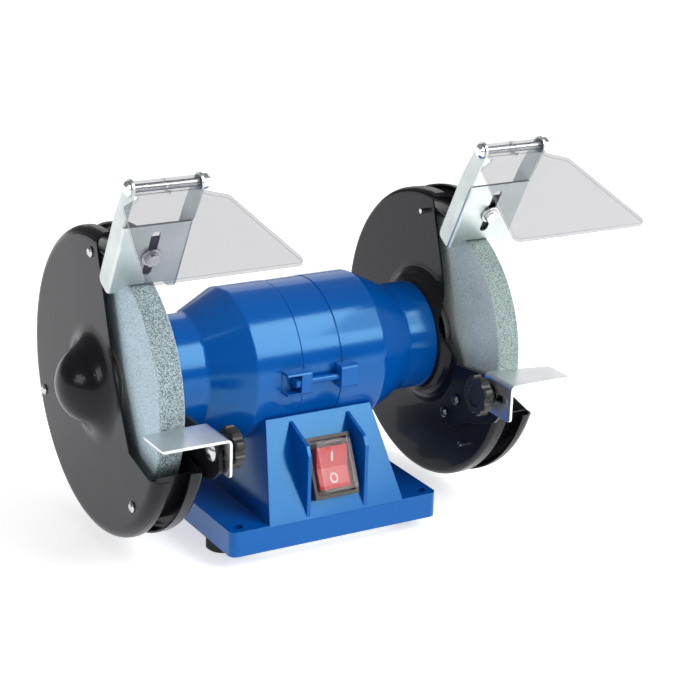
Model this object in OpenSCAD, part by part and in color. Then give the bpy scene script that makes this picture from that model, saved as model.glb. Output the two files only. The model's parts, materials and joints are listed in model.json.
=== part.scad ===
// Bench grinder for two 200 mm wheels.
// X runs along the shaft, -Y faces the operator, +Z is up.
// The origin is the centre of the four bench-bolt holes, on the underside of the base casting.

/* [Base] */
// Width of the base along the shaft
base_w = 184; // [180:1:188]
// Depth of the base
base_d = 178; // [174:1:182]
// Height of the base skirt
base_h = 20.5; // [20:0.5:22]
// Height of the rubber feet under the skirt
foot_h = 11; // [9:0.5:12]
// Wall thickness of the base casting
base_wall = 4; // [3.5:0.5:4.5]
// Radius of the bench-bolt holes
bench_hole_r = 4.25; // [3.5:0.25:4.75]

/* [Motor] */
// Height of the shaft axis above the underside of the base
axis_h = 124; // [123:0.5:126]
// Radius of the motor body
motor_r = 60.5; // [60:0.5:61]
// Half length of the full-diameter motor body
motor_half = 56.5; // [54:0.5:58]
// Radius of the necks that carry the guards
neck_r = 44; // [43:0.5:45]
// Distance from the middle of the motor to the end face of each neck
neck_x = 115.4; // [115:0.1:115.4]

/* [Wheels] */
// Diameter of the grinding wheels
wheel_d = 200; // [194:1:200]
// Thickness of the grinding wheels
wheel_w = 20; // [16:1:20]
// Bore of the grinding wheels
wheel_bore = 16; // [16:0.5:16.5]
// Distance from the middle of the motor to the middle of each wheel
wheel_x = 146.5; // [146:0.5:147]

/* [Guards] */
// Radius of the pressed guard plates
guard_r = 120; // [118:0.5:122]
// Width of a guard over its two plates
guard_w = 40; // [39:0.5:41]
// Outer radius of the rolled band between the plates
band_r = 109.5; // [109:0.5:111]
// Thickness of the guard sheet
sheet = 1.5; // [1.2:0.1:1.6]

/* [Eye shields] */
// Lean of the slotted brackets towards the operator
bracket_lean = 27.5; // [26:0.5:29]
// Angle of the shields from hanging straight down
shield_angle = 69; // [58:1:80]
// Reach of a shield from its pivot
shield_len = 105; // [95:1:110]
// Width of a shield along its free edge
shield_w = 120; // [110:1:126]

/* [Tool rests] */
// Length of a rest plate along the shaft
rest_w = 54.5; // [50:0.5:58]
// Depth of a rest plate
rest_d = 37; // [34:0.5:37]
// Drop of the rest surface below the shaft axis
rest_drop = 5; // [3:0.5:6]

/* [Switch] */
// Width of the switch bezel
bezel_w = 38.5; // [36:0.5:40]
// Height of the switch bezel along the sloped face
bezel_h = 48.5; // [46:0.5:50]
// Tilt of the rocker in its off position
rocker_tilt = 10; // [6:1:10]

/* [Hidden] */

$fn = 64;
left = -1;
right = 1;
sides = [left, right];
eps = 0.5;

// Colours
paint = [0.02, 0.31, 0.68];
black_paint = [0.05, 0.05, 0.06];
zinc = [0.78, 0.79, 0.8];
steel = [0.62, 0.63, 0.65];
black_plastic = [0.07, 0.07, 0.08];
rubber = [0.06, 0.06, 0.06];

// Base casting
base_corner_r = 6;
hole_inset = 10;
hole_x = base_w / 2 - hole_inset;
hole_y = base_d / 2 - hole_inset;
bench_boss_r = 9;
foot_x = 78;
foot_y = 46;
foot_r = 13;
foot_boss_r = 7;
foot_screw_r = 2.5;
cover_w = 128;
cover_d = 150;
cover_t = 1.5;
cover_screw_x = 60;
cover_screw_y = 66;
cover_screw_r = 2;
cover_boss_r = 6;

// Pedestal
ped_top = 93;
ped_foot_x = 59.5;
ped_top_x = 46.5;
ped_top_y = 55;
ped_foot_y = base_d / 2;
face_lean = atan((ped_foot_y - ped_top_y) / (ped_top - base_h));
fin_x = 25.3;
fin_t = 3;
web_x = 34;
web_t = 10;
web_bottom = 52;
motor_screw_r = 3;
motor_screw_y = 20;

// Gland at the back of the skirt
gland_x = -40;
gland_z = 8;
gland_r = 7;
gland_bore_r = 3.6;
gland_hex_r = 8.5;

// Switch, measured on the sloped face from its lower edge
switch_up = 36.5;
bezel_t = 6;
ledge_t = 2;
boot_w = 33;
boot_h = 42.5;
boot_top_w = 29.4;
boot_top_h = 39;
boot_top = 15;
boot_wall = 1.2;
body_w = 33;
body_h = 40;
body_depth = 24;
well_w = 28;
well_h = 36;
well_depth = 8;
rocker_w = 27;
rocker_h = 33;
rocker_low = 4;
rocker_high = 7.5;
rocker_mid = 5;
pivot_r = 1.5;

// Motor shells
seam_x = 17;
seam_groove = 0.5;
shell_wall = 4.5;
cone_x = 89.5;
end_wall = 5;
bearing_r = 20;
bearing_len = 12;
bearing_x = neck_x - end_wall - 0.2 - bearing_len;
bearing_boss_r = 25;
lug_half_h = 9.2;
lug_pocket_h = 14;
lug_reach = 70.5;
lug_root = 58;
through_bolt_y = 65.5;
through_bolt_r = 2.5;

// Stator and rotor
core_r = motor_r - shell_wall;
core_half = 28;
bore_r = 31.8;
slot_count = 24;
slot_in = 35;
slot_out = 48;
slot_w = 4;
coil_half = 44;
rotor_r = 31.3;
cage_x = 36;
cage_r = 28;
blade_count = 12;
blade_x = 46;
rotor_shaft_r = 11;

// Ball bearings with a 17 mm bore
race_bore_r = 8.5;
race_in_r = 11.9;
race_out_r = 16.6;
pitch_r = 14.25;
ball_r = 3.35;
groove_r = 3.4;
ball_count = 8;

// Spindle ends
spindle_r = wheel_bore / 2;
shoulder_x = 122;
spindle_end = 177;
flange_r = 32;
flange_t = 5;
blotter_t = 0.5;
inner_hub_r = 14;
nut_t = 13;
nut_flats = 24;

// Guards, in planes across the shaft, measured from its axis
guard_in = wheel_x - guard_w / 2;
guard_out = wheel_x + guard_w / 2;
cover_corner_r = 9;
inner_corner_r = 5;
rim_depth = 12;
dome_h = 28;
dome_r = 33;
flare_r = 22;
hub_bore_r = 22;
hub_flare_r = 59;
guard_screw_ring = 103.5;
guard_screw_angles = [90, -21, -135];
guard_screw_r = 2;
guard_screw_tip = 5;
mount_screw_ring = 34;
mount_screw_r = 2.5;
front_top = [-5, 130];
front_knee = [-41, 18];
front_low = [-67, -33];
lip_start = -101;
cover_lip = -41;
inner_lip = -37;
band_end = [-49, 97];
band_lip_start = -92;

// Shield brackets: up is along the leaning plate, back is square to it
plate_y = -62.1;
plate_z = 114.3;
plate_t = 2;
plate_half_w = 27.65;
plate_low = -27;
plate_high = 30;
lobe_low = -33;
lobe_x = 20;
bend_r = 2.5;
slot_low = -15;
slot_high = 20;
slot_r = 3.6;
flange_depth = 16.4;
pivot_up = 62.5;
pivot_back = 5.4;
ear_r = 7;
bolt_r = 3;
bolt_fit = 0.1;
slide_gap = 0.3;
tab_low = -21.5;
tab_high = 16;
tab_half_w = 17;

// Shields
barrel_r = 5.4;
barrel_half = 25.2;
barrel_split = 1;
right_shield_droop = 3;
shield_t = 3;
shoulder_up = 12.5;
shoulder_at = 21;
shoulder_half = 40.5;

// Rests
rest_x = 117.5;
rest_t = 2;
rest_back = -101;
right_rest_out = 8;
leg_h = 30;
left_rest_taper = 2;
right_rest_taper = 10;
rest_bend_r = 4;
right_rest_up = 6;
clamp_y = -117;
clamp_z = -20;
clamp_slot = 11;
clamp_slot_r = 3.4;
slot_shift = -2;
arm_t = 3;
arm_x = 121.4;
arm_screws = [[-66, -37], [-50, -53]];
arm_screw_r = 2.5;
arm_radii = [11, 6, 10, 8, 7, 7, 8, 8, 6, 7];
knob_r = 16;
knob_x = 103.5;
knob_t = 8;
knob_hub_r = 10;
knob_lobes = 8;
knob_gap = 0.3;

// ---------- helpers ----------

function unit(v) = v / norm(v);

function seg_normal(a, b) = let (d = unit(b - a)) [-d[1], d[0]];

// A path moved sideways by t, with mitred corners
function offset_path(p, t) = [
    for (i = [0 : len(p) - 1])
        let (
            n1 = seg_normal(p[max(i - 1, 0)], p[max(i, 1)]),
            n2 = seg_normal(p[min(i, len(p) - 2)], p[min(i + 1, len(p) - 1)]),
            m = unit(n1 + n2)
        )
        p[i] + m * t / (m * n1)
];

function backwards(p) = [for (i = [len(p) - 1 : -1 : 0]) p[i]];

// The section of a sheet whose outer face follows the path p
function sheet_section(p, t) = concat(p, backwards(offset_path(p, -t)));

function arc(centre, r, from, to, steps = 6) = [
    for (i = [0 : steps])
        let (a = from + (to - from) * i / steps)
        centre + r * [cos(a), sin(a)]
];

function fillet(a, b, c, r, steps = 6) =
    let (
        u = unit(a - b),
        v = unit(c - b),
        half = acos(u * v) / 2,
        centre = b + unit(u + v) * r / sin(half),
        start = b + u * r / tan(half) - centre,
        turn = (cross(u, v) > 0 ? -1 : 1) * (180 - 2 * half),
        first = atan2(start[1], start[0])
    )
    arc(centre, r, first, first + turn, steps);

// A closed outline with each corner rounded by its own radius
function rounded(p, radii) = [
    for (i = [0 : len(p) - 1])
        let (n = len(p), r = is_list(radii) ? radii[i] : radii)
        each r > 0 ? fillet(p[(i + n - 1) % n], p[i], p[(i + 1) % n], r) : [p[i]]
];

function box_outline(w, h) = [[-w / 2, -h / 2], [w / 2, -h / 2], [w / 2, h / 2], [-w / 2, h / 2]];

// Mirrors the right-hand shape for the left-hand side
module on_side(side) {
    if (side == right) children();
    else mirror([1, 0, 0]) children();
}

// Puts its children on the shaft axis, with their own z along X
module on_axis(x = 0, y = 0, z = 0) {
    translate([x, y, axis_h + z]) rotate([0, 90, 0]) children();
}

// A round bar along X between two stations
module x_bar(x0, x1, r, y = 0, z = 0) {
    on_axis(x0, y, z) cylinder(h = x1 - x0, r = r);
}

// A hexagonal bar along X
module x_hex(x0, x1, flats, y = 0, z = 0) {
    on_axis(x0, y, z) cylinder(h = x1 - x0, r = flats / sqrt(3), $fn = 6);
}

// A flat outline in the YZ plane, thickened along X, its z measured from the shaft
module yz_plate(x0, x1) {
    translate([x0, 0, axis_h]) rotate([90, 0, 90]) linear_extrude(x1 - x0) children();
}

// A turned shape from [radius, station] points
module turned(points) {
    on_axis() rotate_extrude($fn = 96) polygon(points);
}

module at_corners(x, y) {
    for (sx = sides, sy = sides) translate([sx * x, sy * y, 0]) children();
}

module pan_head(r, h) {
    cylinder(h = h * 0.45, r = r);
    translate([0, 0, h * 0.45]) cylinder(h = h * 0.55, r1 = r, r2 = r * 0.6);
}

// ---------- base ----------

module pedestal(inset, low) {
    reach = (ped_top - low) / (ped_top - base_h);
    low_x = ped_top_x + (ped_foot_x - ped_top_x) * reach;
    low_y = ped_top_y + (ped_foot_y - ped_top_y) * reach;
    intersection() {
        translate([0, base_d / 2 + eps, 0]) rotate([90, 0, 0]) linear_extrude(base_d + 2 * eps)
            polygon([
                [-low_x + inset, low], [low_x - inset, low],
                [ped_top_x - inset, ped_top], [-ped_top_x + inset, ped_top]
            ]);
        translate([-base_w / 2, 0, 0]) rotate([90, 0, 90]) linear_extrude(base_w)
            polygon([
                [-low_y + inset, low], [low_y - inset, low],
                [ped_top_y - inset, ped_top], [-ped_top_y + inset, ped_top]
            ]);
    }
}

module switch_fin() {
    front = -base_d / 2 + 0.6;
    outline = rounded([
        [-60, base_h - 1], [-50, ped_top - 10], [-56.5, ped_top - 3.5],
        [-84.5, ped_top - 14.5], [front, ped_top - 22], [front, base_h - 1]
    ], [0, 0, 0, 5, 4, 0]);
    translate([-fin_t / 2, 0, 0]) rotate([90, 0, 90]) linear_extrude(fin_t) polygon(outline);
}

module on_face() {
    lean = face_lean;
    translate([0, -base_d / 2 + switch_up * sin(lean), base_h + switch_up * cos(lean)])
        rotate([90 - lean, 0, 0]) children();
}

module face_block(w, h, low, high, r = 1.5) {
    translate([0, 0, low]) linear_extrude(high - low) polygon(rounded(box_outline(w, h), r));
}

module base() {
    inner_w = base_w - 2 * base_wall;
    inner_d = base_d - 2 * base_wall;
    roof = base_h - base_wall;
    color(paint) difference() {
        union() {
            difference() {
                linear_extrude(base_h) polygon(rounded(box_outline(base_w, base_d), base_corner_r));
                translate([0, 0, -eps]) linear_extrude(roof + eps)
                    polygon(rounded(box_outline(inner_w, inner_d), base_corner_r - base_wall / 2));
            }
            difference() {
                pedestal(0, base_h - 1);
                translate([0, 0, eps]) pedestal(base_wall, roof - 2);
            }
            at_corners(hole_x, hole_y) cylinder(h = roof + eps, r = bench_boss_r);
            at_corners(foot_x, foot_y) cylinder(h = roof + eps, r = foot_boss_r);
            at_corners(cover_screw_x, cover_screw_y) cylinder(h = roof + eps, r = cover_boss_r);
            for (s = sides) translate([s * fin_x, 0, 0]) switch_fin();
            intersection() {
                pedestal(base_wall / 2, base_h);
                for (s = sides)
                    translate([s * web_x - web_t / 2, -base_d / 2, web_bottom])
                        cube([web_t, base_d, ped_top - web_bottom]);
            }
        }
        pedestal_mouth(roof);
        x_bar(-base_w / 2, base_w / 2, motor_r);
        at_corners(hole_x, hole_y) translate([0, 0, -eps]) cylinder(h = base_h + 2 * eps, r = bench_hole_r);
        at_corners(foot_x, foot_y) translate([0, 0, -eps]) cylinder(h = 13, r = foot_screw_r);
        at_corners(cover_screw_x, cover_screw_y) translate([0, 0, -eps]) cylinder(h = 11, r = cover_screw_r);
        at_corners(web_x, motor_screw_y) translate([0, 0, web_bottom - eps]) cylinder(h = 30, r = motor_screw_r);
        on_face() face_block(body_w, body_h, -12, eps, 1);
        translate([gland_x, base_d / 2 - base_wall - eps, gland_z]) rotate([-90, 0, 0])
            cylinder(h = base_wall + 2 * eps, r = gland_r);
    }
}

// Opens the roof of the skirt under the pedestal
module pedestal_mouth(roof) {
    mouth_x = ped_foot_x - base_wall - 1;
    mouth_y = ped_foot_y - base_wall - 2;
    translate([-mouth_x, -mouth_y, roof - eps]) cube([2 * mouth_x, 2 * mouth_y, base_wall + 2 * eps]);
}

module bottom_cover() {
    color(zinc) difference() {
        translate([0, 0, -cover_t]) linear_extrude(cover_t) polygon(rounded(box_outline(cover_w, cover_d), 4));
        at_corners(cover_screw_x, cover_screw_y) translate([0, 0, -cover_t - eps])
            cylinder(h = cover_t + 2 * eps, r = cover_screw_r);
    }
}

module rubber_feet() {
    head_r = 5.5;
    color(rubber) at_corners(foot_x, foot_y) difference() {
        translate([0, 0, -foot_h]) rotate_extrude() polygon([
            [0, 0], [foot_r - 2, 0], [foot_r, 1.5], [foot_r, foot_h - 2], [foot_r - 1.5, foot_h], [0, foot_h]
        ]);
        translate([0, 0, -foot_h - eps]) cylinder(h = foot_h + 2 * eps, r = foot_screw_r);
        translate([0, 0, -foot_h - eps]) cylinder(h = foot_h - 4 + eps, r = head_r);
    }
}

module foot_screws() {
    color(steel) at_corners(foot_x, foot_y) {
        translate([0, 0, -4]) cylinder(h = 16, r = foot_screw_r);
        translate([0, 0, -4]) mirror([0, 0, 1]) pan_head(4.6, 3);
    }
}

module cover_screws() {
    color(steel) at_corners(cover_screw_x, cover_screw_y) {
        translate([0, 0, -cover_t]) cylinder(h = cover_t + 10, r = cover_screw_r);
        translate([0, 0, -cover_t]) mirror([0, 0, 1]) pan_head(3.8, 2.4);
    }
}

module cord_gland() {
    color(black_plastic) translate([gland_x, base_d / 2, gland_z]) rotate([-90, 0, 0]) difference() {
        union() {
            translate([0, 0, -base_wall - 9]) cylinder(h = base_wall + 9, r = gland_r);
            translate([0, 0, -base_wall - 4]) cylinder(h = 4, r = gland_hex_r, $fn = 6);
            cylinder(h = 4, r = gland_hex_r, $fn = 6);
            translate([0, 0, 4]) cylinder(h = 8, r1 = 7.2, r2 = 5.6);
        }
        translate([0, 0, -base_wall - 9 - eps]) cylinder(h = base_wall + 21 + 2 * eps, r = gland_bore_r);
    }
}

cap_y = 34;
cap_r = 17.5;
cap_half = 31;
cap_z = 19;

module run_capacitor() {
    color([0.85, 0.85, 0.82]) translate([-cap_half, cap_y, cap_z]) rotate([0, 90, 0]) {
        cylinder(h = 2 * cap_half, r = cap_r);
        translate([0, 0, 2 * cap_half]) cylinder(h = 3, r = cap_r - 3);
        for (s = sides) translate([s * 6 - 0.4, -3.2, 2 * cap_half + 3]) cube([0.8, 6.4, 8]);
    }
}

module capacitor_clip() {
    clip_t = 1.2;
    half = 6;
    color(zinc) difference() {
        union() {
            translate([-half, cap_y, cap_z]) rotate([0, 90, 0]) cylinder(h = 2 * half, r = cap_r + clip_t);
            translate([-half, cap_y - 30, 0]) cube([2 * half, 60, clip_t]);
        }
        translate([-half - eps, cap_y, cap_z]) rotate([0, 90, 0]) cylinder(h = 2 * half + 2 * eps, r = cap_r);
        translate([-half - eps, cap_y - 31, -5]) cube([2 * half + 2 * eps, 62, 5]);
    }
}

module terminal_block() {
    block = [42, 16, 14];
    ways = 4;
    color([0.9, 0.89, 0.84]) translate([-block[0] / 2, -36, 0]) difference() {
        cube(block);
        for (i = [0 : ways - 1]) translate([(i + 0.5) * block[0] / ways, 0, 0]) {
            translate([0, -eps, 5]) rotate([-90, 0, 0]) cylinder(h = block[1] + 2 * eps, r = 2);
            translate([0, block[1] / 2, 7]) cylinder(h = 10, r = 2);
        }
    }
}

// ---------- switch ----------

module switch_housing() {
    color(black_plastic) on_face() difference() {
        union() {
            face_block(bezel_w, bezel_h, 0, bezel_t, 0.8);
            face_block(body_w, body_h, -body_depth, eps, 1);
        }
        face_block(boot_w + 0.2, boot_h + 0.2, ledge_t, bezel_t + eps, 1.5);
        face_block(well_w, well_h, -well_depth, ledge_t + eps, 1);
        translate([-well_w / 2 - 1.6, 0, 0]) rotate([0, 90, 0]) cylinder(h = well_w + 3.2, r = pivot_r + 0.1);
    }
}

module boot_block(inset, top) {
    hull() {
        face_block(boot_w - 2 * inset, boot_h - 2 * inset, ledge_t, ledge_t + 0.01, 2);
        face_block(boot_top_w - 2 * inset, boot_top_h - 2 * inset, top - 0.01, top, 2);
    }
}

module switch_boot() {
    color([0.9, 0.85, 0.85, 0.5]) on_face() difference() {
        boot_block(0, boot_top);
        translate([0, 0, -0.01]) boot_block(boot_wall, boot_top - boot_wall);
    }
}

module switch_rocker() {
    half = rocker_h / 2;
    color([0.8, 0.03, 0.04]) on_face() rotate([rocker_tilt, 0, 0]) {
        translate([-rocker_w / 2, 0, 0]) rotate([90, 0, 90]) linear_extrude(rocker_w) polygon([
            [-half + 1, -rocker_low], [half - 1, -rocker_low], [half, rocker_high],
            [half - 3, rocker_high], [0, rocker_mid], [-half + 3, rocker_high], [-half, rocker_high]
        ]);
        translate([-rocker_w / 2 - 1.4, 0, 0]) rotate([0, 90, 0]) cylinder(h = rocker_w + 2.8, r = pivot_r);
    }
}

// ---------- motor ----------

module through_bolt_lug(x0, x1) {
    for (s = sides) difference() {
        yz_plate(x0, x1) polygon(rounded([
            [0, -lug_half_h], [s * lug_reach, -lug_half_h], [s * lug_reach, lug_half_h], [0, lug_half_h]
        ], [0, 3, 3, 0]));
        x_bar(-seam_x - 0.05, seam_x + 0.05, motor_r + 0.1);
        x_bar(x0 - 1, x1 + 1, lug_root);
    }
}

module bell_shell() {
    inner = motor_r - shell_wall;
    neck_in = neck_r - shell_wall;
    floor_x = neck_x - end_wall;
    turned(rounded([
        [13, neck_x], [neck_r, neck_x], [neck_r, cone_x], [motor_r, motor_half],
        [motor_r, seam_x + seam_groove], [motor_r - seam_groove, seam_x],
        [inner, seam_x], [inner, motor_half - 2], [neck_in, cone_x - 2], [neck_in, floor_x],
        [bearing_boss_r, floor_x], [bearing_boss_r, bearing_x - 1], [bearing_r, bearing_x - 1],
        [bearing_r, floor_x], [13, floor_x]
    ], [0, 1, 9, 6, 0, 0, 0, 4, 6, 0, 0, 0, 0, 0, 0]));
}

module bell_holes() {
    for (a = [60, 180, 300]) x_bar(neck_x - end_wall - eps, neck_x + eps, mount_screw_r,
        mount_screw_ring * sin(a), mount_screw_ring * cos(a));
    at_corners(web_x, motor_screw_y) translate([0, 0, web_bottom]) cylinder(h = 30, r = motor_screw_r);
}

module left_end_bell() {
    pocket_x = -24;
    color(paint) difference() {
        union() {
            on_side(left) bell_shell();
            through_bolt_lug(-36, -15);
        }
        on_side(left) bell_holes();
        for (s = sides) {
            x_bar(pocket_x - eps, 0, through_bolt_r, s * through_bolt_y);
            translate([-40, s > 0 ? motor_r + 0.6 : -lug_reach - 1, axis_h - lug_pocket_h / 2])
                cube([pocket_x + 40, lug_reach - motor_r + 0.4, lug_pocket_h]);
        }
    }
}

module right_end_bell() {
    color(paint) difference() {
        union() {
            bell_shell();
            through_bolt_lug(11, 26);
        }
        bell_holes();
        for (s = sides) x_bar(0, 22.5, through_bolt_r, s * through_bolt_y);
    }
}

module stator_shell() {
    shell_r = motor_r - 0.3;
    color(paint) difference() {
        turned([
            [0, -seam_x], [shell_r - seam_groove, -seam_x], [shell_r, -seam_x + seam_groove],
            [shell_r, seam_x - seam_groove], [shell_r - seam_groove, seam_x], [0, seam_x]
        ]);
        x_bar(-seam_x - eps, seam_x + eps, core_r);
    }
}

module slot_fan(w, r0, r1) {
    for (i = [0 : slot_count - 1]) rotate(i * 360 / slot_count) translate([r0, -w / 2]) square([r1 - r0, w]);
}

module stator_core() {
    color(steel) on_axis(-core_half) linear_extrude(2 * core_half) difference() {
        circle(r = core_r, $fn = 96);
        circle(r = bore_r, $fn = 96);
        slot_fan(slot_w, slot_in, slot_out);
    }
}

module stator_windings() {
    ring_in = slot_in + 0.5;
    ring_out = slot_out + 2;
    color([0.72, 0.36, 0.16]) {
        on_axis(-core_half) linear_extrude(2 * core_half) slot_fan(slot_w, slot_in, slot_out);
        for (s = sides) on_side(s) turned([
            [ring_in, core_half], [ring_out, core_half], [ring_out + 1, core_half + 5], [ring_out - 1, coil_half],
            [ring_in + 3, coil_half + 1], [ring_in, coil_half - 4]
        ]);
    }
}

module through_bolts() {
    seat = -24;
    color(steel) for (s = sides) {
        x_bar(seat, 22, through_bolt_r, s * through_bolt_y);
        x_hex(seat - 4, seat, 8, s * through_bolt_y);
    }
}

module motor_screws() {
    surface = axis_h - sqrt(motor_r * motor_r - motor_screw_y * motor_screw_y);
    color(steel) at_corners(web_x, motor_screw_y) {
        translate([0, 0, web_bottom]) cylinder(h = surface + 3.4 - web_bottom, r = motor_screw_r);
        translate([0, 0, web_bottom - 4]) cylinder(h = 4, r = 10 / sqrt(3), $fn = 6);
    }
}

// ---------- bearings and rotor ----------

module race(r0, r1) {
    for (s = sides) on_side(s) on_axis(bearing_x) rotate_extrude($fn = 96) difference() {
        translate([r0, 0]) square([r1 - r0, bearing_len]);
        translate([pitch_r, bearing_len / 2]) circle(r = groove_r);
    }
}

module bearing_outer_races() {
    color(steel) race(race_out_r, bearing_r);
}

module bearing_inner_races() {
    color(steel) race(race_bore_r, race_in_r);
}

module bearing_balls() {
    middle = bearing_x + bearing_len / 2;
    color([0.8, 0.8, 0.82]) for (s = sides, i = [0 : ball_count - 1])
        let (a = i * 360 / ball_count)
        translate([s * middle, pitch_r * sin(a), axis_h + pitch_r * cos(a)]) sphere(r = ball_r);
}

module shaft() {
    step_x = 60;
    half = [
        [0, 0], [rotor_shaft_r, 0], [rotor_shaft_r, step_x], [9.6, step_x + 2], [9.6, bearing_x],
        [race_bore_r, bearing_x], [race_bore_r, shoulder_x], [spindle_r, shoulder_x],
        [spindle_r, spindle_end - 1.5], [spindle_r - 1.5, spindle_end], [0, spindle_end]
    ];
    color(steel) for (s = sides) on_side(s) turned(half);
}

module rotor_core() {
    color([0.5, 0.51, 0.53]) difference() {
        x_bar(-core_half, core_half, rotor_r);
        x_bar(-core_half - eps, core_half + eps, rotor_shaft_r);
    }
}

module rotor_cage() {
    blade_t = 2;
    color([0.75, 0.76, 0.77]) for (s = sides) on_side(s) {
        turned([[18, core_half], [cage_r, core_half], [cage_r, cage_x], [18, cage_x]]);
        for (i = [0 : blade_count - 1]) on_axis(cage_x - 1) rotate(i * 360 / blade_count)
            translate([19, -blade_t / 2, 0]) cube([8, blade_t, blade_x - cage_x + 1]);
    }
}

module wheel_flanges() {
    face_in = wheel_x - wheel_w / 2 - blotter_t;
    face_out = wheel_x + wheel_w / 2 + blotter_t;
    color(steel) for (s = sides) on_side(s) {
        turned([
            [spindle_r, shoulder_x], [inner_hub_r, shoulder_x], [inner_hub_r, face_in - 6], [flange_r, face_in - 5],
            [flange_r, face_in], [flange_r - 10, face_in], [flange_r - 11, face_in - 1], [spindle_r, face_in - 1]
        ]);
        turned([
            [spindle_r, face_out + 1], [flange_r - 11, face_out + 1], [flange_r - 10, face_out],
            [flange_r, face_out], [flange_r, face_out + 3], [flange_r - 4, face_out + flange_t],
            [spindle_r, face_out + flange_t]
        ]);
    }
}

module wheel_blotters() {
    face = wheel_x + wheel_w / 2;
    back = wheel_x - wheel_w / 2 - blotter_t;
    color([0.85, 0.83, 0.76]) for (s = sides, x = [back, face]) on_side(s) difference() {
        x_bar(x, x + blotter_t, flange_r + 3);
        x_bar(x - eps, x + blotter_t + eps, spindle_r);
    }
}

module spindle_nuts() {
    x0 = wheel_x + wheel_w / 2 + blotter_t + flange_t;
    color(steel) for (s = sides) on_side(s) difference() {
        x_hex(x0, x0 + nut_t, nut_flats);
        x_bar(x0 - eps, x0 + nut_t + eps, spindle_r);
    }
}

module wheel(side, tone) {
    r = wheel_d / 2;
    x0 = wheel_x - wheel_w / 2;
    x1 = wheel_x + wheel_w / 2;
    edge = 1;
    color(tone) on_side(side) turned([
        [spindle_r, x0], [r - edge, x0], [r, x0 + edge], [r, x1 - edge], [r - edge, x1], [spindle_r, x1]
    ]);
}

module left_wheel() {
    wheel(left, [0.62, 0.7, 0.72]);
}

module right_wheel() {
    wheel(right, [0.64, 0.7, 0.68]);
}

// ---------- guards ----------

function rim_path(r) = concat(arc([guard_r - r, -r], r, 90, 0), [[guard_r, -rim_depth]]);

// Outer face of the cover: dome, flare, flat and rolled rim, as [radius, height]
dome_drop = dome_r - dome_h;
flare_at = sqrt((dome_r + flare_r) ^ 2 - (flare_r + dome_drop) ^ 2);
dome_edge = atan((flare_r + dome_drop) / flare_at);
cover_path = concat(
    [[0, dome_h], [1.5, dome_h]],
    arc([0, -dome_drop], dome_r, 85, dome_edge, 14),
    arc([flare_at, flare_r], flare_r, dome_edge + 186, 270, 10),
    rim_path(cover_corner_r)
);

// Outer face of the inner plate: raised hub, flare, flat and rolled rim
hub_h = guard_in - neck_x;
inner_path = concat(
    [[hub_bore_r, hub_h], [neck_r, hub_h], [neck_r + 2.5, hub_h - 1.5], [neck_r + 4.5, hub_h * 0.5],
     [neck_r + 7.5, hub_h * 0.22], [neck_r + 11, hub_h * 0.06], [hub_flare_r, 0]],
    rim_path(inner_corner_r)
);

function stations(path, face, outward) = [for (q = path) [q[0], face + outward * q[1]]];

module guard_screw_spots() {
    for (a = guard_screw_angles) translate([0, guard_screw_ring * cos(a), guard_screw_ring * sin(a)]) children();
}

module guard_plate_cut(x0, x1, lip) {
    far = -140;
    yz_plate(x0, x1) polygon([front_top, front_knee, front_low, [lip_start, lip], [far, lip], [far, front_top[1]]]);
}

module guard_cover() {
    difference() {
        turned(stations(sheet_section(cover_path, sheet), guard_out, 1));
        guard_plate_cut(guard_out - 30, guard_out + 30, cover_lip);
        guard_screw_spots() x_bar(guard_out - 10, guard_out + 5, guard_screw_r);
    }
}

module guard_inner() {
    difference() {
        turned(stations(sheet_section(inner_path, sheet), guard_in, -1));
        guard_plate_cut(guard_in - 30, guard_in + 30, inner_lip);
        guard_screw_spots() x_bar(guard_in - 5, guard_in + 10, guard_screw_r);
        for (a = [60, 180, 300]) x_bar(neck_x - eps, neck_x + 10, mount_screw_r,
            mount_screw_ring * sin(a), mount_screw_ring * cos(a));
        for (p = arm_screws) x_bar(guard_in - eps, guard_in + 5, arm_screw_r, p[0], p[1]);
    }
}

// The frame of the leaning bracket plate: x along the shaft, y up the plate, z towards the operator
module on_bracket() {
    translate([wheel_x, plate_y, axis_h + plate_z]) rotate([90 + bracket_lean, 0, 0]) children();
}

module guard_band() {
    half = guard_w / 2 - sheet;
    tab_back = -plate_t - slide_gap;
    difference() {
        union() {
            difference() {
                x_bar(wheel_x - half, wheel_x + half, band_r);
                x_bar(wheel_x - half - eps, wheel_x + half + eps, band_r - sheet);
                yz_plate(wheel_x - half - eps, wheel_x + half + eps) polygon([
                    [0, 0], band_end * 3, [-400, 250], [-400, cover_lip], [band_lip_start, cover_lip]
                ]);
            }
            on_bracket() translate([-tab_half_w, tab_low, tab_back - sheet])
                cube([2 * tab_half_w, tab_high - tab_low, sheet]);
        }
        on_bracket() translate([0, 0, tab_back - 10]) cylinder(h = 20, r = bolt_r);
        x_bar(wheel_x - half - eps, wheel_x + half + eps, band_r - sheet);
    }
}

module left_guard_inner() {
    color(black_paint) on_side(left) guard_inner();
}

module right_guard_inner() {
    color(black_paint) guard_inner();
}

module left_guard_band() {
    color(black_paint) on_side(left) guard_band();
}

module right_guard_band() {
    color(black_paint) guard_band();
}

module left_guard_cover() {
    color(black_paint) on_side(left) guard_cover();
}

module right_guard_cover() {
    color(black_paint) guard_cover();
}

module guard_screws() {
    color(zinc) for (s = sides) on_side(s) guard_screw_spots() {
        x_bar(guard_in - guard_screw_tip, guard_out, guard_screw_r);
        on_axis(guard_out) pan_head(4.2, 2.2);
    }
}

module guard_mount_screws() {
    seat = neck_x + sheet;
    color(steel) for (s = sides, a = [60, 180, 300]) on_side(s)
        translate([0, mount_screw_ring * sin(a), mount_screw_ring * cos(a)]) {
            x_bar(neck_x - end_wall, seat, mount_screw_r);
            on_axis(seat) pan_head(4.5, 3.2);
        }
}

// ---------- tool rests ----------

function rest_up(side) = side == right ? right_rest_up : 0;

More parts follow.
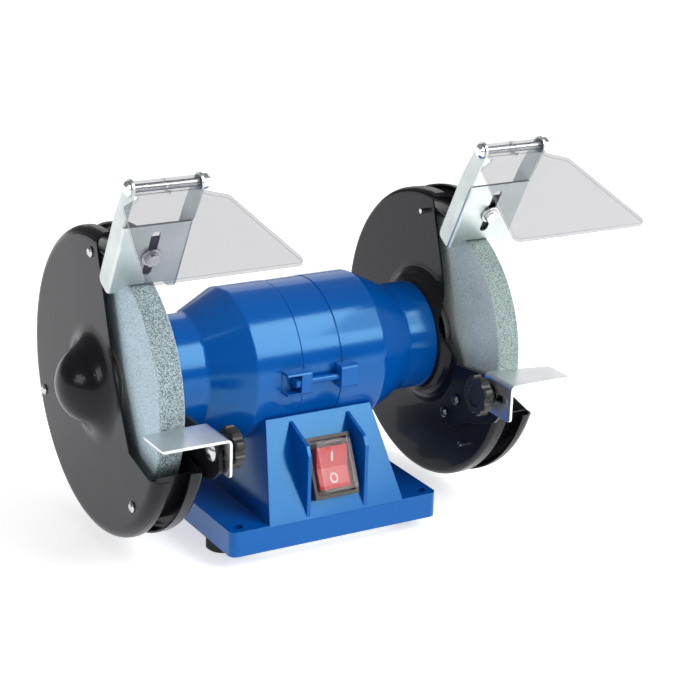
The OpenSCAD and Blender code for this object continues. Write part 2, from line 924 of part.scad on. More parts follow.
function arm_outline(up) = [
    [-129, -8 + up], [-62, -8], [-58, -24], [-45, -44], [-36, -54],
    [-50, -67], [-80, -52], [-100, -46], [-119, -42 + up / 2], [-131, -32 + up]
];

module rest_arm(up) {
    head = [clamp_y, clamp_z + up];
    difference() {
        union() {
            yz_plate(arm_x, arm_x + arm_t) polygon(rounded(arm_outline(up), arm_radii));
            for (p = arm_screws) x_bar(arm_x, guard_in, 7, p[0], p[1]);
        }
        x_bar(arm_x - eps, arm_x + arm_t + eps, bolt_r, head[0], head[1]);
        for (p = arm_screws) x_bar(arm_x - eps, guard_in + eps, arm_screw_r, p[0], p[1]);
    }
}

module left_rest_arm() {
    color(black_paint) on_side(left) rest_arm(rest_up(left));
}

module right_rest_arm() {
    color(black_paint) rest_arm(rest_up(right));
}

module rest_arm_screws() {
    nut_at = guard_in + sheet;
    color(zinc) for (s = sides, p = arm_screws) on_side(s) {
        x_bar(arm_x, nut_at + 5, arm_screw_r, p[0], p[1]);
        translate([0, p[0], p[1]]) on_axis(arm_x) mirror([0, 0, 1]) pan_head(4.5, 3);
        difference() {
            x_hex(nut_at, nut_at + 4, 8, p[0], p[1]);
            x_bar(nut_at - eps, nut_at + 5, arm_screw_r, p[0], p[1]);
        }
    }
}

module rest_clamp_bolts() {
    seat = arm_x + arm_t;
    head_r = 8;
    head_h = 3.6;
    dome = (head_r * head_r + head_h * head_h) / (2 * head_h);
    edge = acos(head_r / dome);
    washer_t = 1.5;
    color(zinc) for (s = sides) on_side(s) translate([0, clamp_y, clamp_z + rest_up(s)]) {
        x_bar(knob_x + 5, seat, bolt_r);
        on_axis(seat) rotate_extrude() polygon(concat([[0, 0]], arc([0, head_h - dome], dome, edge, 90, 8)));
        difference() {
            x_bar(arm_x - washer_t, arm_x, 6.5);
            x_bar(arm_x - washer_t - eps, arm_x + eps, bolt_r);
        }
    }
}

module tool_rest(out, up, taper) {
    top = -rest_drop + up;
    front = rest_back - rest_d - out;
    back = rest_back - out;
    slot_y = clamp_y + slot_shift - out;
    section = rounded([
        [rest_x, top - leg_h], [rest_x + rest_t, top - leg_h], [rest_x + rest_t, top - rest_t],
        [rest_x + rest_w, top - rest_t], [rest_x + rest_w, top], [rest_x, top]
    ], [0, 0, rest_bend_r - rest_t, 0, 0, rest_bend_r]);
    plan = rounded([
        [rest_x, front], [rest_x + rest_w, front], [rest_x + rest_w, back - taper], [rest_x + 8, back],
        [rest_x, back]
    ], [0, 1.5, 3, 3, 0]);
    leg = rounded([
        [front, top], [front, top - leg_h], [back, top - leg_h], [back, top]
    ], [0, 3, 3, 0]);
    difference() {
        intersection() {
            translate([0, back, axis_h]) rotate([90, 0, 0]) linear_extrude(rest_d) polygon(section);
            translate([0, 0, axis_h + top - leg_h]) linear_extrude(leg_h) polygon(plan);
            yz_plate(rest_x - eps, rest_x + rest_w + eps) polygon(leg);
        }
        yz_plate(rest_x - eps, rest_x + rest_t + eps) translate([slot_y, clamp_z + up]) {
            for (s = sides) translate([s * clamp_slot, 0]) circle(r = clamp_slot_r);
            square([2 * clamp_slot, 2 * clamp_slot_r], center = true);
        }
    }
}

module left_tool_rest() {
    color(zinc) on_side(left) tool_rest(0, rest_up(left), left_rest_taper);
}

// The right rest is clamped further out and higher than the left one
module right_tool_rest() {
    color(zinc) tool_rest(right_rest_out, rest_up(right), right_rest_taper);
}

module rest_knob(side) {
    flute_r = 4;
    flute_at = knob_r + 1.6;
    neck = knob_x + knob_t;
    hub_end = rest_x - knob_gap;
    chamfer = 1.2;
    translate([0, clamp_y, clamp_z + rest_up(side)]) difference() {
        union() {
            difference() {
                turned([
                    [0, knob_x], [knob_r - chamfer, knob_x], [knob_r, knob_x + chamfer],
                    [knob_r, neck - chamfer], [knob_r - chamfer, neck], [0, neck]
                ]);
                for (i = [0 : knob_lobes - 1])
                    let (a = i * 360 / knob_lobes)
                    x_bar(knob_x - eps, neck + eps, flute_r, flute_at * cos(a), flute_at * sin(a));
            }
            turned([
                [0, neck - eps], [knob_hub_r + 1.5, neck - eps], [knob_hub_r, neck + 2],
                [knob_hub_r - 2, hub_end], [0, hub_end]
            ]);
        }
        x_bar(knob_x + 4, hub_end + eps, bolt_r + 0.05);
        x_bar(knob_x - eps, knob_x + 1.2, knob_r - 7);
    }
}

module left_rest_knob() {
    color(black_plastic) on_side(left) rest_knob(left);
}

module right_rest_knob() {
    color(black_plastic) rest_knob(right);
}

// ---------- eye shields ----------

module bracket_bolts() {
    washer_t = 1.6;
    washer_r = 7.5;
    flats = 10;
    tab_rear = -plate_t - slide_gap - sheet;
    nut_h = 5;
    color(zinc) for (s = sides) on_side(s) on_bracket() {
        translate([0, 0, slide_gap]) cylinder(h = washer_t, r = washer_r);
        translate([0, 0, slide_gap + washer_t]) cylinder(h = 4, r = flats / sqrt(3), $fn = 6);
        translate([0, 0, tab_rear - nut_h - 2]) cylinder(h = nut_h + 2 - tab_rear + slide_gap, r = bolt_r);
        difference() {
            translate([0, 0, tab_rear - nut_h]) cylinder(h = nut_h, r = flats / sqrt(3), $fn = 6);
            translate([0, 0, tab_rear - nut_h - eps]) cylinder(h = nut_h + 2 * eps, r = bolt_r);
        }
    }
}

// One ear of the bracket, above the bends, drawn as [up, towards the operator]
module bracket_ear() {
    front = [pivot_up - 1, ear_r - pivot_back - 0.1];
    back = [pivot_up - 1, -pivot_back - ear_r + 0.1];
    rotate([90, 0, 90]) linear_extrude(plate_t) difference() {
        union() {
            polygon([
                [plate_high - 3, -bend_r], [plate_high + 1, -bend_r * 0.4], [plate_high + 8, 0], front,
                back, [plate_high + 7, -flange_depth + 0.8], [plate_high - 3, -flange_depth]
            ]);
            translate([pivot_up, -pivot_back]) circle(r = ear_r);
        }
        translate([pivot_up, -pivot_back]) circle(r = bolt_r + bolt_fit);
    }
}

// The bent channel: plate and flanges, open at the back
module bracket_channel() {
    w = plate_half_w;
    inside = w - plate_t;
    section = rounded([
        [-w, -flange_depth], [-inside, -flange_depth], [-inside, -plate_t], [inside, -plate_t],
        [inside, -flange_depth], [w, -flange_depth], [w, 0], [-w, 0]
    ], [0, 0, bend_r - plate_t, bend_r - plate_t, 0, 0, bend_r, bend_r]);
    front = rounded([
        [-w - eps, lobe_low], [-lobe_x, lobe_low], [-lobe_x + 5, plate_low], [lobe_x - 5, plate_low],
        [lobe_x, lobe_low], [w + eps, lobe_low], [w + eps, plate_high], [-w - eps, plate_high]
    ], [0, 2, 4, 4, 2, 0, 0, 0]);
    side = rounded([
        [lobe_low, eps], [lobe_low, -flange_depth], [plate_high, -flange_depth], [plate_high, eps]
    ], [0, 5, 0, 0]);
    intersection() {
        translate([0, plate_high, 0]) rotate([90, 0, 0]) linear_extrude(plate_high - lobe_low) polygon(section);
        translate([0, 0, -flange_depth - eps]) linear_extrude(flange_depth + 2 * eps) polygon(front);
        translate([-w - eps, 0, 0]) rotate([90, 0, 90]) linear_extrude(2 * w + 2 * eps) polygon(side);
    }
}

module shield_bracket() {
    on_bracket() {
        difference() {
            bracket_channel();
            translate([0, 0, -plate_t - eps]) linear_extrude(plate_t + 2 * eps) {
                for (y = [slot_low, slot_high]) translate([0, y]) circle(r = slot_r);
                translate([-slot_r, slot_low]) square([2 * slot_r, slot_high - slot_low]);
            }
        }
        for (x = [-plate_half_w, plate_half_w - plate_t]) translate([x, 0, 0]) bracket_ear();
    }
}

module left_shield_bracket() {
    color(zinc) on_side(left) shield_bracket();
}

module right_shield_bracket() {
    color(zinc) shield_bracket();
}

// The pivot of a shield, on its bracket, with z along the shaft
module on_pivot() {
    on_bracket() translate([0, pivot_up, -pivot_back]) rotate([0, 90, 0]) children();
}

module shield_pivot(side) {
    color(zinc) translate([side * wheel_x - wheel_x, 0, 0]) on_pivot() {
        translate([0, 0, -plate_half_w]) cylinder(h = 2 * plate_half_w + 7, r = bolt_r);
        translate([0, 0, -plate_half_w]) mirror([0, 0, 1]) pan_head(5.6, 3.6);
        difference() {
            translate([0, 0, plate_half_w]) cylinder(h = 5, r = 10 / sqrt(3), $fn = 6);
            translate([0, 0, plate_half_w - eps]) cylinder(h = 6, r = bolt_r);
        }
    }
}

module left_shield_pivot() {
    shield_pivot(left);
}

module right_shield_pivot() {
    shield_pivot(right);
}

module shield(side) {
    tip = shield_w / 2;
    angle = side == right ? shield_angle - right_shield_droop : shield_angle;
    outline = rounded([
        [-barrel_half, 0], [barrel_half, 0], [barrel_half, shoulder_up], [shoulder_half, shoulder_at],
        [tip, shield_len], [-tip, shield_len], [-shoulder_half, shoulder_at], [-barrel_half, shoulder_up]
    ], [0, 0, 2, 3, 5, 5, 3, 2]);
    lean = bracket_lean;
    pivot_y = plate_y - pivot_up * sin(lean) + pivot_back * cos(lean);
    pivot_z = plate_z + pivot_up * cos(lean) + pivot_back * sin(lean);
    color([0.9, 0.93, 0.95, 0.35]) translate([side * wheel_x, pivot_y, axis_h + pivot_z])
        rotate([270 - angle, 0, 0]) difference() {
            union() {
                translate([0, 0, -shield_t / 2]) linear_extrude(shield_t) polygon(outline);
                translate([-barrel_half, 0, 0]) rotate([0, 90, 0]) cylinder(h = 2 * barrel_half, r = barrel_r);
            }
            translate([-barrel_half - eps, 0, 0]) rotate([0, 90, 0])
                cylinder(h = 2 * barrel_half + 2 * eps, r = bolt_r + bolt_fit);
            translate([-barrel_split, -2 * barrel_r, -2 * barrel_r])
                cube([2 * barrel_split, 2 * barrel_r + shoulder_up - 4, 4 * barrel_r]);
        }
}

module left_shield() {
    shield(left);
}

module right_shield() {
    shield(right);
}

base();
bottom_cover();
rubber_feet();
foot_screws();
cover_screws();
cord_gland();
run_capacitor();
capacitor_clip();
terminal_block();
switch_housing();
switch_boot();
switch_rocker();
left_end_bell();
right_end_bell();
stator_shell();
stator_core();
stator_windings();
through_bolts();
motor_screws();
bearing_outer_races();
bearing_inner_races();
bearing_balls();
shaft();
rotor_core();
rotor_cage();
wheel_flanges();
wheel_blotters();
spindle_nuts();
left_wheel();
right_wheel();
left_guard_inner();
right_guard_inner();
left_guard_band();
right_guard_band();
left_guard_cover();
right_guard_cover();
guard_screws();
guard_mount_screws();
left_rest_arm();
right_rest_arm();
rest_arm_screws();
rest_clamp_bolts();
left_tool_rest();
right_tool_rest();
left_rest_knob();
right_rest_knob();
bracket_bolts();
left_shield_bracket();
right_shield_bracket();
left_shield_pivot();
right_shield_pivot();
left_shield();
right_shield();
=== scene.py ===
"""Looks for the bench grinder: materials, switch marks, studio and camera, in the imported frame."""

import json
import math

import bmesh
import bpy
from mathutils import Matrix, Vector


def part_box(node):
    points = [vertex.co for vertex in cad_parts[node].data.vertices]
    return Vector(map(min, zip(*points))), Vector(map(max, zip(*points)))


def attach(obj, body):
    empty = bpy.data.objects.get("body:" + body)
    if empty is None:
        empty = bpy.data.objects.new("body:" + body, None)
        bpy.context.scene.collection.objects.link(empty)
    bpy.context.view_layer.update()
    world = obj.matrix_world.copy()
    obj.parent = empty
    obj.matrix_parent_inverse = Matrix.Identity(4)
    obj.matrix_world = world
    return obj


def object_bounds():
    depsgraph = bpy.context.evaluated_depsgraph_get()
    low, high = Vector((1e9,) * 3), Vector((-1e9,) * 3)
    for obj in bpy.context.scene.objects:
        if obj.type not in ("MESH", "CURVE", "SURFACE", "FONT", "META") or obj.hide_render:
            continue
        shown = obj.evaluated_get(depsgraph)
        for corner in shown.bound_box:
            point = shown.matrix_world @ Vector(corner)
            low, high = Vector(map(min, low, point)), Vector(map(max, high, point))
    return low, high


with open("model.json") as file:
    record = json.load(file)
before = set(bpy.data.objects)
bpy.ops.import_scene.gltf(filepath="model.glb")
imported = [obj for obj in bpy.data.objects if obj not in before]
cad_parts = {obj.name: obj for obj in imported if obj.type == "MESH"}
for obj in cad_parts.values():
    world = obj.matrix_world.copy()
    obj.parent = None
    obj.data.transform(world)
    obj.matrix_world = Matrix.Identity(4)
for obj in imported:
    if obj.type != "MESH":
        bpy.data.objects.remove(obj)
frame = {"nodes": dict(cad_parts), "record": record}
CAD_LOW, CAD_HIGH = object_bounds()
NODES = frame["nodes"]
RECORD = frame["record"]
MM = 0.001


# ---------------------------------------------------------------- node helpers


class Shader:
    """A material being wired: each method adds a node and returns the socket that matters."""

    def __init__(self, name):
        self.material = bpy.data.materials.new(name)
        self.material.use_nodes = True
        self.tree = self.material.node_tree
        self.tree.nodes.clear()
        output = self.tree.nodes.new("ShaderNodeOutputMaterial")
        self.bsdf = self.tree.nodes.new("ShaderNodeBsdfPrincipled")
        self.tree.links.new(self.bsdf.outputs[0], output.inputs["Surface"])

    def node(self, kind, **values):
        made = self.tree.nodes.new(kind)
        for key, value in values.items():
            setattr(made, key, value)
        return made

    def feed(self, socket, value):
        """Link a socket, or set a plain value; a colour may leave out its alpha."""
        if isinstance(value, bpy.types.NodeSocket):
            self.tree.links.new(value, socket)
            return
        if socket.type == "RGBA" and len(value) == 3:
            value = (*value, 1.0)
        socket.default_value = value

    def set(self, **inputs):
        for name, value in inputs.items():
            self.feed(self.bsdf.inputs[name.replace("_", " ")], value)

    def coords(self, output="Object"):
        return self.node("ShaderNodeTexCoord").outputs[output]

    def place(self, stretch=(1, 1, 1)):
        mapping = self.node("ShaderNodeMapping")
        self.feed(mapping.inputs["Vector"], self.coords())
        mapping.inputs["Scale"].default_value = stretch
        return mapping.outputs[0]

    def noise(self, scale, detail=3.0, rough=0.55, stretch=(1, 1, 1)):
        made = self.node("ShaderNodeTexNoise")
        self.feed(made.inputs["Vector"], self.place(stretch))
        made.inputs["Scale"].default_value = scale
        made.inputs["Detail"].default_value = detail
        made.inputs["Roughness"].default_value = rough
        return made.outputs["Fac"]

    def voronoi(self, scale, output="Distance"):
        made = self.node("ShaderNodeTexVoronoi")
        self.feed(made.inputs["Vector"], self.place())
        made.inputs["Scale"].default_value = scale
        return made.outputs[output]

    def span(self, value, low, high, new_low=0.0, new_high=1.0):
        """Map the stretch from low to high onto new_low to new_high, and clamp."""
        made = self.node("ShaderNodeMapRange")
        self.feed(made.inputs["Value"], value)
        made.inputs["From Min"].default_value = low
        made.inputs["From Max"].default_value = high
        made.inputs["To Min"].default_value = new_low
        made.inputs["To Max"].default_value = new_high
        return made.outputs[0]

    def math(self, operation, a, b=0.0):
        made = self.node("ShaderNodeMath", operation=operation)
        self.feed(made.inputs[0], a)
        self.feed(made.inputs[1], b)
        return made.outputs[0]

    def mix(self, amount, a, b):
        """Blend two colours; 0 gives a and 1 gives b."""
        made = self.node("ShaderNodeMix", data_type="RGBA")
        factor, colour_a, colour_b = made.inputs[0], made.inputs[6], made.inputs[7]
        self.feed(factor, amount)
        self.feed(colour_a, a)
        self.feed(colour_b, b)
        return made.outputs[2]

    def bump(self, height, strength, distance, before=None):
        made = self.node("ShaderNodeBump")
        self.feed(made.inputs["Height"], height)
        made.inputs["Strength"].default_value = strength
        made.inputs["Distance"].default_value = distance
        if before is not None:
            self.feed(made.inputs["Normal"], before)
        return made.outputs[0]

    def soft_edge(self, radius):
        made = self.node("ShaderNodeBevel", samples=4)
        made.inputs["Radius"].default_value = radius
        return made.outputs[0]

    def painted_crease_shade(self, reach=2.5 * MM):
        """Near 0 in tight corners and 1 in the open: the mask for painted shade in corners, from ambient
        occlusion.
        """
        made = self.node("ShaderNodeAmbientOcclusion", samples=4)
        made.inputs["Distance"].default_value = reach
        return self.span(made.outputs["AO"], 0.35, 0.8)

    def edge_mask(self, radius, low=0.02, high=0.22):
        """Near 1 on sharp edges and 0 on flats."""
        plain = self.node("ShaderNodeNewGeometry").outputs["Normal"]
        dot = self.node("ShaderNodeVectorMath", operation="DOT_PRODUCT")
        self.feed(dot.inputs[0], plain)
        self.feed(dot.inputs[1], self.soft_edge(radius))
        return self.span(self.math("SUBTRACT", 1.0, dot.outputs["Value"]), low, high)


# ---------------------------------------------------------------- material recipes

COOL_COAT = (0.93, 0.93, 1)


def paint(name, colour, deep, rough, grain, coat, edge, gloss, tint):
    """Sprayed enamel: slight orange peel, cloudy tone, lighter worn edges."""
    s = Shader(name)
    cloud = s.noise(14, 2)
    peel = s.noise(grain, 2, 0.5)
    speck = s.span(s.noise(900, 1), 0.62, 0.75)
    lighter = tuple(min(1, c * 1.6 + 0.03) for c in colour)
    worn = s.math("MULTIPLY", s.edge_mask(0.6 * MM), s.span(s.noise(160, 3), 0.4, 0.6))
    base = s.mix(s.span(cloud, 0.3, 0.7, 0.0, 0.35), colour, deep)
    base = s.mix(s.math("MULTIPLY", worn, edge), base, lighter)
    uneven = s.span(cloud, 0.25, 0.75, rough - 0.03, rough + 0.04)
    roughness = s.math("ADD", uneven, s.math("MULTIPLY", speck, 0.05))
    s.set(Base_Color=base, Roughness=roughness)
    s.set(Normal=s.bump(peel, 0.1, 0.3 * MM, s.soft_edge(0.6 * MM)))
    s.set(Coat_Weight=coat, Coat_Roughness=0.05, Coat_Tint=COOL_COAT)
    s.set(Specular_IOR_Level=gloss, Specular_Tint=tint)
    return s.material


def plated(name, colour, tint, rough, stretch=(1, 1, 1), grain=240, contact=0.3):
    """Bright metal: faint rolling lines, cloudy tone and roughness, and painted shade that darkens it in
    tight corners.
    """
    s = Shader(name)
    cloud = s.noise(38, 4, 0.6)
    lines = s.noise(grain, 3, 0.6, stretch)
    # Painted shade: in tight corners the colour goes toward a darkened copy of the tint.
    corner_shade = tuple(contact * c for c in tint)
    base = s.mix(s.painted_crease_shade(), corner_shade, s.mix(s.span(cloud, 0.35, 0.7), colour, tint))
    uneven = s.span(cloud, 0.3, 0.7, rough - 0.04, rough + 0.06)
    roughness = s.math("ADD", uneven, s.span(lines, 0.3, 0.7, -0.03, 0.04))
    s.set(Base_Color=base, Metallic=1.0, Roughness=roughness)
    s.set(Normal=s.bump(lines, 0.06, 0.2 * MM, s.soft_edge(0.4 * MM)))
    return s.material


def plastic(name, colour, rough, grain=700, depth=0.1):
    """Moulded plastic: fine texture, slightly lighter along its edges."""
    s = Shader(name)
    cloud = s.noise(40, 3)
    lighter = tuple(c * 1.35 + 0.012 for c in colour)
    base = s.mix(s.span(cloud, 0.3, 0.7, 0, 0.3), colour, lighter)
    base = s.mix(s.math("MULTIPLY", s.edge_mask(0.5 * MM), 0.5), base, lighter)
    s.set(Base_Color=base, Roughness=s.span(cloud, 0.3, 0.7, rough - 0.05, rough + 0.07))
    s.set(Normal=s.bump(s.noise(grain, 2), depth, 0.3 * MM, s.soft_edge(0.5 * MM)))
    return s.material


def abrasive(name, face, grit, dark, light):
    """Bonded grit: pale sides with a light speckle, a darker and coarser speckle on the rim."""
    s = Shader(name)
    grains_per_metre = 1900
    split = s.node("ShaderNodeSeparateXYZ")
    s.feed(split.inputs[0], s.coords("Normal"))
    side = s.span(s.math("ABSOLUTE", split.outputs[0]), 0.55, 0.85)
    parts = s.node("ShaderNodeSeparateColor")
    s.feed(parts.inputs[0], s.voronoi(grains_per_metre, output="Color"))
    pick = parts.outputs[0]
    fine = s.noise(1700, 3, 0.7)
    broad = s.noise(22, 4, 0.6)
    rim = s.mix(s.span(pick, 0.4, 0.95, 0.0, 0.6), grit, light)
    rim = s.mix(s.span(pick, 0.46, 0.16), rim, dark)
    flat = s.mix(s.span(broad, 0.35, 0.7, 0.0, 0.35), face, grit)
    flat = s.mix(s.span(pick, 0.34, 0.1, 0.0, 0.5), flat, dark)
    flat = s.mix(s.span(pick, 0.55, 0.95, 0.0, 0.8), flat, light)
    pits = s.math("MULTIPLY", s.voronoi(grains_per_metre), -0.9)
    height = s.math("ADD", pits, s.math("MULTIPLY", fine, 0.6))
    s.set(Base_Color=s.mix(side, rim, flat), Roughness=s.span(fine, 0.3, 0.7, 0.8, 0.95))
    s.set(Specular_IOR_Level=0.2, Normal=s.bump(height, 0.45, 0.4 * MM))
    return s.material


def clear(name, tint, rim, alpha, rim_alpha, rough):
    """Clear sheet: a faint tint with a glossy coat; along its edges it is lighter and denser, a painted
    reflection of the light the sheet's edges throw back.
    """
    s = Shader(name)
    smear = s.noise(30, 3)
    edge = s.edge_mask(1.2 * MM, 0.02, 0.2)
    # Painted reflection: the edges take the lighter, more opaque rim colour.
    s.set(Base_Color=s.mix(edge, tint, rim), Alpha=s.mix(edge, (alpha,) * 3, (rim_alpha,) * 3))
    s.set(Roughness=s.span(smear, 0.4, 0.7, rough, rough + 0.03))
    s.set(Normal=s.bump(s.noise(25, 1), 0.02, 0.8 * MM), Coat_Weight=1.0, Coat_Roughness=0.04)
    return s.material


def card(name, colour):
    """Pressed paper: fine fibres in two tones."""
    s = Shader(name)
    fibre = s.noise(500, 4, 0.7, (1, 1, 3))
    darker = tuple(c * 0.86 for c in colour)
    s.set(Base_Color=s.mix(s.span(fibre, 0.3, 0.7), colour, darker))
    s.set(Roughness=0.9, Normal=s.bump(fibre, 0.2, 0.3 * MM))
    return s.material


# ---------------------------------------------------------------- materials

ROLLED = (1, 1, 6)

BLUE = paint(
    "blue_enamel", colour=(0.0, 0.082, 0.37), deep=(0.0, 0.068, 0.32), rough=0.16, grain=520,
    coat=0.04, edge=0.4, gloss=0.68, tint=(0.3, 0.77, 1),
)
BLACK = paint(
    "black_enamel", colour=(0.0075, 0.0075, 0.0095), deep=(0.0055, 0.0055, 0.007), rough=0.28,
    grain=600, coat=0.19, edge=0.5, gloss=0.14, tint=(0.9, 0.92, 1),
)
ZINC = plated("zinc_plate", (0.64, 0.69, 0.69), (0.54, 0.6, 0.59), 0.33, ROLLED)
REST_ZINC = plated("rest_zinc", (0.86, 0.88, 0.9), (0.77, 0.79, 0.82), 0.3, ROLLED)
FASTENER = plated("fastener_zinc", (0.7, 0.7, 0.71), (0.5, 0.51, 0.52), 0.14)
# A contact of 1.0 keeps the painted corner shade off the pivot rods.
PIVOT_ROD = plated("pivot_zinc", (0.86, 0.87, 0.89), (0.74, 0.75, 0.77), 0.2, contact=1.0)
DARK_BOLT = plated("dark_fastener", (0.12, 0.12, 0.125), (0.08, 0.08, 0.085), 0.32)
STEEL = plated("turned_steel", (0.56, 0.57, 0.58), (0.48, 0.49, 0.5), 0.26, (10, 1, 1), 300)
IRON = plated("lamination_steel", (0.3, 0.3, 0.31), (0.22, 0.22, 0.23), 0.42, (40, 1, 1), 400)
COPPER = plated("winding_copper", (0.62, 0.25, 0.1), (0.5, 0.17, 0.06), 0.35, (6, 1, 1), 500)
ALLOY = plated("cast_alloy", (0.72, 0.72, 0.74), (0.62, 0.62, 0.65), 0.45)
BLACK_PLASTIC = plastic("black_plastic", (0.012, 0.012, 0.013), 0.36)
BEZEL_PLASTIC = plastic("bezel_plastic", (0.04, 0.034, 0.03), 0.4)
RUBBER = plastic("foot_rubber", (0.01, 0.01, 0.01), 0.75, 900, 0.3)
CREAM = plastic("cream_plastic", (0.72, 0.68, 0.55), 0.4)
RED = plastic("red_plastic", (0.5, 0.004, 0.008), 0.2, 500, 0.04)
WHITE_PRINT = plastic("white_print", (0.75, 0.74, 0.72), 0.45, 900, 0.05)
CARD = card("blotter_card", (0.6, 0.56, 0.46))
COARSE = abrasive(
    "coarse_abrasive", face=(0.52, 0.67, 0.78), grit=(0.27, 0.35, 0.37),
    dark=(0.07, 0.11, 0.12), light=(0.72, 0.83, 0.88),
)
FINE = abrasive(
    "fine_abrasive", face=(0.64, 0.73, 0.75), grit=(0.27, 0.35, 0.34),
    dark=(0.15, 0.2, 0.19), light=(0.56, 0.66, 0.64),
)
SHIELD = clear(
    "clear_shield", tint=(0.05, 0.05, 0.09), rim=(0.1, 0.1, 0.14), alpha=0.3, rim_alpha=0.75, rough=0.06,
)
BOOT = clear(
    "clear_boot", tint=(0.6, 0.5, 0.5), rim=(0.75, 0.7, 0.68), alpha=0.07, rim_alpha=0.45, rough=0.06,
)

BY_SLOT = {
    "blue_paint": BLUE, "black_paint": BLACK, "zinc_plate": ZINC, "bright_steel": STEEL,
    "lamination_steel": IRON, "copper_wire": COPPER, "cage_aluminium": ALLOY, "can_aluminium": ALLOY,
    "black_plastic": BLACK_PLASTIC, "red_plastic": RED, "clear_rubber": BOOT, "clear_shield": SHIELD,
    "foot_rubber": RUBBER, "cream_plastic": CREAM, "blotter_card": CARD,
    "coarse_abrasive": COARSE, "fine_abrasive": FINE,
}
BRIGHT_FASTENERS = (
    "cover_screws", "motor_screws", "guard_screws", "guard_mount_screws", "rest_clamp_bolts",
    "bracket_bolts", "spindle_nuts",
)
BY_NODE = {
    **dict.fromkeys(BRIGHT_FASTENERS, FASTENER),
    **dict.fromkeys(("foot_screws", "rest_arm_screws"), DARK_BOLT),
    **dict.fromkeys(("left_shield_pivot", "right_shield_pivot"), PIVOT_ROD),
    **dict.fromkeys(("left_tool_rest", "right_tool_rest"), REST_ZINC),
    "switch_housing": BEZEL_PLASTIC,
}


def dress(obj, material):
    obj.data.materials.clear()
    obj.data.materials.append(material)


for part in RECORD["subparts"]:
    dress(NODES[part["node"]], BY_NODE.get(part["node"], BY_SLOT[part["material_slot"]]))


# ---------------------------------------------------------------- switch marks

SLOPE_DEG = 25.1  # the pedestal's front face, from upright
ROCKER_TILT_DEG = 10.0  # the rocker, in the stored position
DISH_DEG = 10.5  # each half of the rocker's face, from its middle line
FACE_LIFT = 5.0 * MM  # middle line of the face, above the pivot
MARK_REACH = 8.4 * MM  # each mark, from the middle line
MARK_HEIGHT = 0.12 * MM


def joint_place(name):
    joints = RECORD["behaviour"]["joints"]
    return Vector(next(j["pos_m"] for j in joints if j["name"] == name))


def raised_ring(name, outer, inner, height):
    """A flat printed mark between two loops of points, standing a little proud of the face."""
    bm = bmesh.new()
    levels = (0.0, height)
    low_out, top_out = ([bm.verts.new((x, y, z)) for x, y in outer] for z in levels)
    low_in, top_in = ([bm.verts.new((x, y, z)) for x, y in inner] for z in levels)
    for i in range(len(outer)):
        j = (i + 1) % len(outer)
        bm.faces.new((low_out[i], low_out[j], top_out[j], top_out[i]))
        bm.faces.new((top_out[i], top_out[j], top_in[j], top_in[i]))
        bm.faces.new((top_in[i], top_in[j], low_in[j], low_in[i]))
    mesh = bpy.data.meshes.new(name)
    bm.to_mesh(mesh)
    bm.free()
    obj = bpy.data.objects.new(name, mesh)
    bpy.context.scene.collection.objects.link(obj)
    return obj


def ellipse(x_radius, y_radius, count=40):
    turns = [2 * math.pi * i / count for i in range(count)]
    return [(x_radius * math.cos(turn), y_radius * math.sin(turn)) for turn in turns]


def bar(half_width, half_length):
    corners = ((1, -1), (1, 1), (-1, 1), (-1, -1))
    return [(x * half_width, y * half_length) for x, y in corners]


def add_mark(name, end, outer, inner):
    """Lay a mark on one half of the rocker's face; end is 1 for the upper half and -1 for the lower."""
    piece = raised_ring(name, outer, inner, MARK_HEIGHT)
    dress(piece, WHITE_PRINT)
    face_turn = Matrix.Rotation(math.radians(90 - SLOPE_DEG + ROCKER_TILT_DEG), 4, "X")
    rise = FACE_LIFT + MARK_REACH * math.tan(math.radians(DISH_DEG))
    spot = Matrix.Translation((0, end * MARK_REACH, rise))
    dish = Matrix.Rotation(end * math.radians(DISH_DEG), 4, "X")
    piece.matrix_world = Matrix.Translation(joint_place("switch_rock")) @ face_turn @ spot @ dish
    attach(piece, "rocker")


add_mark("mark_on", 1, bar(0.8 * MM, 3.6 * MM), bar(0.05 * MM, 3.5 * MM))
add_mark("mark_off", -1, ellipse(3.4 * MM, 4.0 * MM), ellipse(2.3 * MM, 2.9 * MM))


# ---------------------------------------------------------------- studio

SHAFT_MIDDLE = (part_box("shaft")[0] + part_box("shaft")[1]) / 2
FLOOR_SIZE = 14
NEAR, FAR = 0.7, 2.4  # the floor's glow grows between these distances, so that it stays pale far away
NEAR_GLOW, FAR_GLOW = 0.61, 0.9
HORIZON, OVERHEAD = 0.14, 0.28  # strength of the light from the sky
OVERHEAD_FROM = 0.75  # sine of the elevation where the sky reaches its full strength
BACKDROP = 0.9


def floor_paint():
    """A matt white floor that glows a little, so that shadows on it stay faint."""
    s = Shader("floor_white")
    distance = s.node("ShaderNodeVectorMath", operation="LENGTH")
    s.feed(distance.inputs[0], s.coords())
    s.set(Base_Color=(0.85, 0.85, 0.85), Roughness=0.9, Emission_Color=(1, 1, 1))
    s.set(Emission_Strength=s.span(distance.outputs["Value"], NEAR, FAR, NEAR_GLOW, FAR_GLOW))
    return s.material


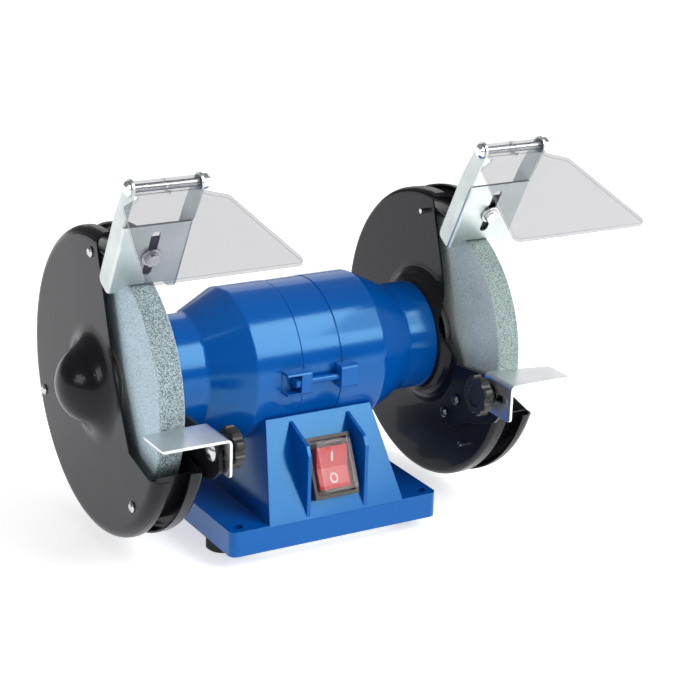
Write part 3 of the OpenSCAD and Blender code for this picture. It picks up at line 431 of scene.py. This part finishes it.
def studio_sky():
    """Light from the sky: dim at the horizon, so that metal has something dark to reflect.

    Where the sky itself is in view, it is a plain pale backdrop.
    """
    world = bpy.data.worlds.new("studio")
    world.use_nodes = True
    tree = world.node_tree
    coords = tree.nodes.new("ShaderNodeTexCoord")
    split = tree.nodes.new("ShaderNodeSeparateXYZ")
    ramp = tree.nodes.new("ShaderNodeMapRange")
    ramp.inputs["From Max"].default_value = OVERHEAD_FROM
    ramp.inputs["To Min"].default_value = HORIZON
    ramp.inputs["To Max"].default_value = OVERHEAD
    path = tree.nodes.new("ShaderNodeLightPath")
    strength = tree.nodes.new("ShaderNodeMix")
    strength.inputs["B"].default_value = BACKDROP
    background = tree.nodes["Background"]
    background.inputs["Color"].default_value = (1, 1, 1, 1)
    tree.links.new(coords.outputs["Generated"], split.inputs[0])
    tree.links.new(split.outputs["Z"], ramp.inputs["Value"])
    tree.links.new(path.outputs["Is Camera Ray"], strength.inputs["Factor"])
    tree.links.new(ramp.outputs[0], strength.inputs["A"])
    tree.links.new(strength.outputs["Result"], background.inputs["Strength"])
    return world


def soft_box(name, place, width, height, power):
    """A rectangular lamp aimed at the middle of the shaft."""
    data = bpy.data.lights.new(name, "AREA")
    data.shape = "RECTANGLE"
    data.size = width
    data.size_y = height
    data.energy = power
    lamp = bpy.data.objects.new(name, data)
    bpy.context.scene.collection.objects.link(lamp)
    lamp.location = place
    lamp.rotation_euler = (SHAFT_MIDDLE - Vector(place)).to_track_quat("-Z", "Y").to_euler()
    return lamp


bpy.ops.mesh.primitive_plane_add(size=FLOOR_SIZE, location=(0, 0, CAD_LOW.z))
floor = bpy.context.object
floor.name = "floor"
floor.data.materials.append(floor_paint())

bpy.context.scene.world = studio_sky()

soft_box("front_box", place=(0.96, -1.23, 1.376), width=1.15, height=1.55, power=37)
soft_box("left_box", place=(-2.2, -0.5, 0.9), width=1.0, height=0.7, power=11)
top_box = soft_box("top_box", place=(0.0, 0.2, 2.2), width=1.8, height=1.8, power=9.5)
top_box.visible_glossy = False
soft_box("back_box", place=(1.25, 2.1, 1.05), width=2.2, height=1.3, power=7.4)


# ---------------------------------------------------------------- camera

EYE = Vector((-0.7149, -1.2982, 0.6375))
TARGET = Vector((0.0498, 0.0, 0.1275))
ROLL_DEG = -1.8
LENS_MM = 104.1
SENSOR_MM = 36

camera_data = bpy.data.cameras.new("camera")
camera_data.sensor_width = SENSOR_MM
camera_data.lens = LENS_MM
camera_data.clip_start = 0.05
camera_data.clip_end = 50
camera = bpy.data.objects.new("camera", camera_data)
bpy.context.scene.collection.objects.link(camera)
camera.location = EYE
camera.rotation_mode = "QUATERNION"
level = (TARGET - EYE).to_track_quat("-Z", "Y")
camera.rotation_quaternion = level @ Matrix.Rotation(-math.radians(ROLL_DEG), 4, "Z").to_quaternion()
bpy.context.scene.camera = camera
bpy.context.scene.view_settings.view_transform = "Standard"
